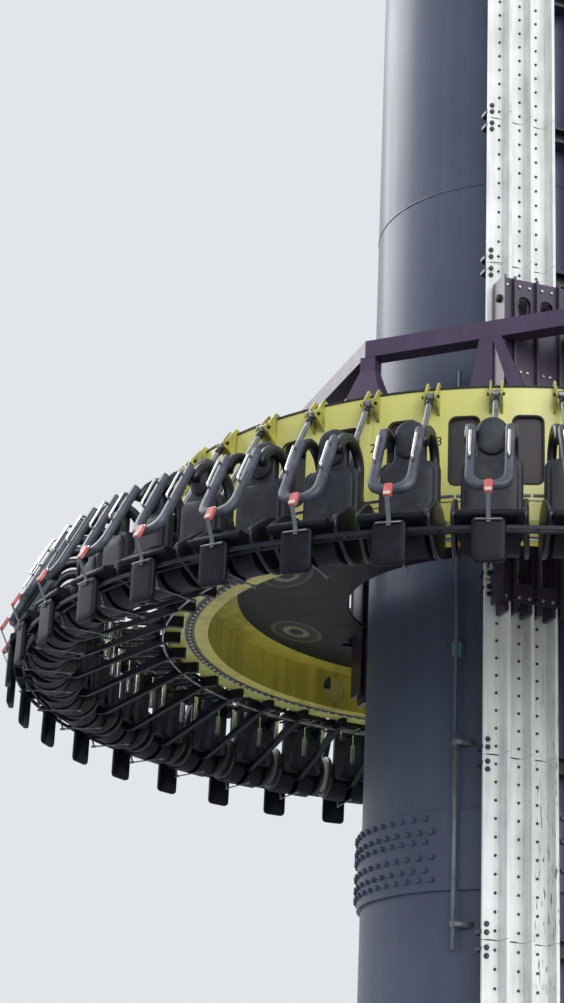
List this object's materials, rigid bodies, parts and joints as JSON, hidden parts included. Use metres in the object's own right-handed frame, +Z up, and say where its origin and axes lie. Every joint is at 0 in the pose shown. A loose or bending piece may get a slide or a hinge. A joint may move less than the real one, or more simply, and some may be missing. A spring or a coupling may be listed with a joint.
{
  "type": "drop tower ride, 1:10 scale model",
  "caption": "Drop tower ride, a 1:10 scale model: a steel tube tower with brake fin rails, and a lifting carriage whose turning ring carries outward-facing seats.",
  "frame": {"origin": "centre of the base flange's underside, at ground level", "axes": "+Z up along the tower, -Y towards the front rails, +X to the right seen from the front"},
  "size_m": [1.0418, 1.0418, 9.6],
  "materials": {
    "tube_paint": "satin dark blue-grey paint",
    "rail_paint": "weathered off-white paint",
    "bracket_paint": "satin near-black blue paint",
    "guide_steel": "dark oiled steel",
    "galvanised": "galvanised steel",
    "box_paint": "satin teal paint",
    "frame_paint": "satin purple paint",
    "housing_paint": "satin dark purple paint",
    "ceiling_paint": "gloss purple paint with a plain painted pattern",
    "yellow_paint": "gloss yellow-green paint",
    "bearing_steel": "dark grey paint with pale bolts",
    "arm_paint": "satin grey paint",
    "black_steel": "satin black paint",
    "roller_tyre": "black polyurethane",
    "seat_shell": "moulded charcoal plastic",
    "bolster_skin": "glossy black moulding",
    "restraint_skin": "moulded grey plastic",
    "handle_steel": "polished steel",
    "buckle_red": "faded red plastic",
    "strap_web": "grey woven webbing",
    "pane_dark": "dark tinted pane"
  },
  "bodies": {
    "tower": {"base_flange": "bracket_paint", "tube_sections": "tube_paint", "splice_collars": "tube_paint", "brake_columns_front": "rail_paint", "brake_columns_back": "rail_paint", "plain_rail_plates": "rail_paint", "rail_brackets": "bracket_paint", "guide_rails": "guide_steel", "conduit_pipe": "galvanised", "junction_box": "box_paint", "head_deck": "tube_paint", "head_railing": "galvanised", "sheave_housings": "bracket_paint", "head_cap": "tube_paint"},
    "carriage": {"top_frame": "frame_paint", "frame_posts": "frame_paint", "frame_braces": "frame_paint", "magnet_housing_front": "housing_paint", "magnet_housing_back": "housing_paint", "guide_rollers": "roller_tyre", "roller_brackets": "housing_paint", "floor_beams": "frame_paint", "ceiling_panels": "ceiling_paint", "inner_ring": "yellow_paint", "slewing_ring": "bearing_steel"},
    "ring": {"drum_segments": "yellow_paint", "window_panes": "pane_dark", "rim_brackets": "yellow_paint", "bracket_pins": "black_steel", "seat_struts": "galvanised", "seat_arms": "arm_paint", "ladder_ring": "arm_paint", "seat_backs": "seat_shell", "seat_pans": "seat_shell", "seat_bolsters": "bolster_skin", "calf_rests": "seat_shell", "restraint_bibs": "restraint_skin", "shoulder_arms": "bolster_skin", "grab_handles": "handle_steel", "belt_buckles": "buckle_red", "belt_straps": "strap_web", "tie_rods": "galvanised", "back_spokes": "black_steel", "lock_cylinders": "handle_steel"}
  },
  "joints": [
    {"name": "lift", "type": "slide", "parent": "tower", "child": "carriage", "axis": [0, 0, 1], "range_m": [-0.64, 8.1]},
    {"name": "spin", "type": "hinge", "parent": "carriage", "child": "ring", "pos_m": [0, 0, 0.858], "axis": [0, 0, 1], "continuous": true}
  ]
}
